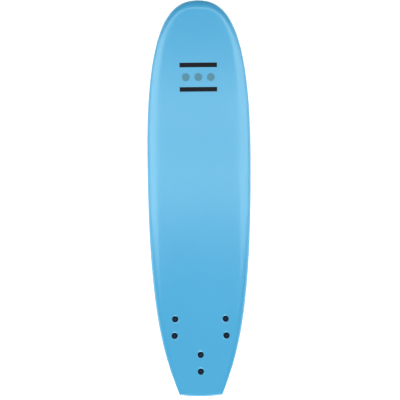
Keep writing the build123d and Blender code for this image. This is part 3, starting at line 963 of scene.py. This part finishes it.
# Spokes are closest at the slots: a - 0.2 sin(4a) over one turn
even = 2 * np.pi * np.linspace(0, 1, SPOKES + 1)
angle = even - GATHER * np.sin(4 * even)
for bolt in BOLTS:
    foot, axis = feet[bolt], axes[bolt]
    up_the_screw = heights(f"screw_{bolt}", bolt)
    tip, crown = float(up_the_screw.min()), float(up_the_screw.max())
    under_head = crown - HEAD_HEIGHT
    side = np.cross(axis, (0.0, 1.0, 0.0))
    side /= np.linalg.norm(side)
    spoke = np.cos(angle)[:, None] * side + np.sin(angle)[:, None] * np.cross(axis, side)
    spoke[-1] = spoke[0]
    top = stand(HEAD_RINGS, crown + head_top(HEAD_RINGS, angle), spoke, foot, axis)
    height = np.linspace(tip, tip + THREADED, int(ROWS_PER_TURN * THREADED / PITCH) + 1)[:, None]
    phase = (height / PITCH - angle / (2 * np.pi)) % 1.0
    run_out = smooth((tip + THREADED - height) / RUN_OUT)
    ridge = (THREAD - THREAD_DEPTH * (1 - abs(2 * phase - 1))) * run_out + CORE * (1 - run_out)
    thread = np.minimum(ridge, THREAD - POINT_CUT * (1 - smooth((height - tip) / POINT)))
    thread[:, -1] = thread[:, 0]
    profile = np.array((
        (CORE, tip + THREADED), (CORE, under_head), (HEAD - HEAD_BEVEL, under_head),
        (HEAD, under_head + HEAD_BEVEL), (HEAD, crown - HEAD_DOME)))
    shank = stand(profile[:, :1], profile[:, 1:] + 0 * angle, spoke, foot, axis)
    threaded = stand(thread, height, spoke, foot, axis)
    end = stand(np.stack([0 * thread[0], thread[0]]), tip, spoke, foot, axis)
    screw = shell(f"cross_head_screw_{bolt}", [(part, None) for part in (top, shank, threaded, end)])
    fit(screw, steel, f"screw_{bolt}", "screw_steel", f"screw_{bolt}")


# ---- Floor, lights and camera --------------------------------------------------------------
# A pale seamless floor under soft studio light: a strip high over the board, a soft box on each
# side and one behind the tail. The camera looks square at the deck, with the nose at the top.

FLOOR_HALF = 60.0
FLOOR_SHADES = (0.935, 0.935, 0.935, 1), (0.945, 0.945, 0.945, 1)
FLOOR_CLOUD = 0.6
grid = np.stack(np.meshgrid((-FLOOR_HALF, FLOOR_HALF), (-FLOOR_HALF, FLOOR_HALF)), axis=-1)
floor = shell("studio_floor", [(np.concatenate([grid, np.zeros((2, 2, 1))], axis=-1), None)])
pale = finish("lit_pale_floor", Roughness=0.9, Specular_IOR_Level=0.1, Emission_Color=(1, 1, 1, 1),
              Emission_Strength=0.3)
wire(pale, Base_Color=mix(pale, noise(pale, place(pale), FLOOR_CLOUD), *FLOOR_SHADES))
floor.data.materials.append(pale)

ROOM_LIGHT = 0.17
world = bpy.data.worlds.new("studio")
bpy.context.scene.world = world
world.use_nodes = True
room = world.node_tree.nodes["Background"]
room.inputs["Color"].default_value = (1, 1, 1, 1)
room.inputs["Strength"].default_value = ROOM_LIGHT


def soft_light(name, spot, aim, size, power):
    """A rectangular lamp at a spot over the level board, facing a point on it."""
    lamp = bpy.data.lights.new(name, "AREA")
    lamp.shape = "RECTANGLE"
    lamp.size, lamp.size_y = size
    lamp.energy = power
    held = bpy.data.objects.new(name, lamp)
    bpy.context.scene.collection.objects.link(held)
    where = lay(*(np.array(c) for c in spot))
    facing = lay(*(np.array(c) for c in aim)) - where
    held.location = where
    held.rotation_euler = Vector(facing).to_track_quat("-Z", "Y").to_euler()
    held.visible_camera = False


soft_light("overhead", (0.4, 0.42, 7.9), (0.4, 0.42, 0.0), (8.0, 0.7), 122.0)
soft_light("left_softbox", (-3.1, 0.4, 2.2), (0.0, 0.4, 0.0), (1.8, 4.0), 90.0)
soft_light("right_softbox", (3.1, 0.4, 2.2), (0.0, 0.4, 0.0), (1.8, 4.0), 80.0)
soft_light("tail_softbox", (0.0, -6.0, 4.5), (0.0, 0.0, 0.0), (5.0, 3.0), 370.0)

DISTANCE = 8.0
LENS = 115.95
ROLL = radians(0.5)
AIM = (0.0038, -0.0064)
camera = bpy.data.cameras.new("camera")
camera.lens = LENS
camera.sensor_width = 36.0
camera.clip_end = 200.0
holder = bpy.data.objects.new("camera", camera)
bpy.context.scene.collection.objects.link(holder)
right_way = np.cos(ROLL) * across - np.sin(ROLL) * ahead
top_way = np.cos(ROLL) * ahead + np.sin(ROLL) * across
eye = lay(*(np.array(c) for c in (AIM[0], AIM[1], DISTANCE)))
pose = np.eye(4)
pose[:3, 0], pose[:3, 1], pose[:3, 2], pose[:3, 3] = right_way, top_way, up, eye
holder.matrix_world = Matrix(pose.tolist())
bpy.context.scene.camera = holder
bpy.context.scene.view_settings.view_transform = "Standard"
